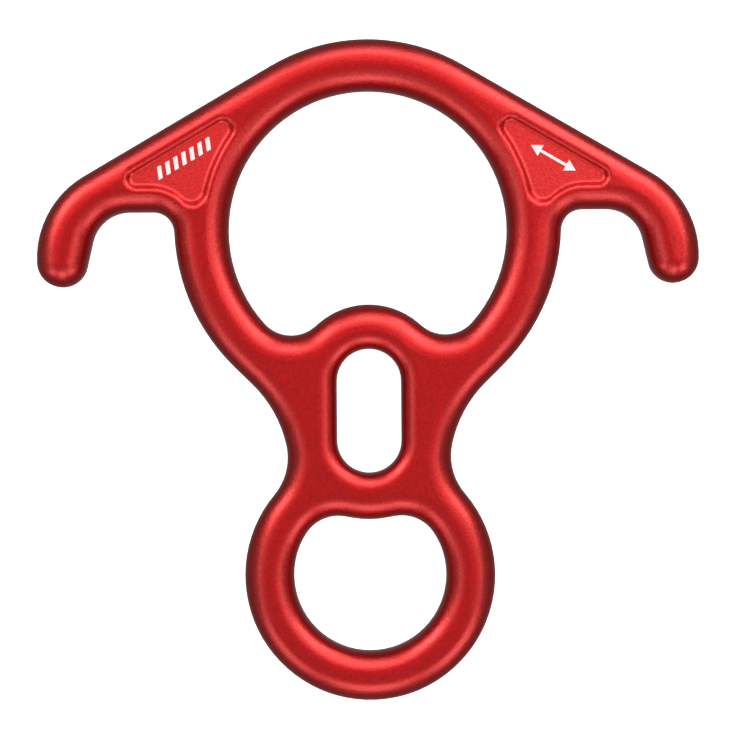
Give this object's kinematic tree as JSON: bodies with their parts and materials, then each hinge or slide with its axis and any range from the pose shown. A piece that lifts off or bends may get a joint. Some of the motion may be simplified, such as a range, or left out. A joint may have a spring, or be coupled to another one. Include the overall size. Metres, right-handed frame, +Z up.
{
  "type": "rope descender",
  "caption": "Flat forged figure-8 rope descender: large rope ring, small carabiner ring, belay slot in the waist, and bent horns at the shoulders.",
  "frame": {"origin": "in the plane of the lower face, under the middle of the outline", "axes": "+X towards the right-hand horn, +Y towards the large ring's crown, +Z up through the thickness"},
  "size_m": [0.1498, 0.1494, 0.014],
  "materials": {
    "red_anodised": "satin",
    "white_mark": "satin"
  },
  "bodies": {
    "root": {"descender_body": "red_anodised"}
  },
  "joints": []
}
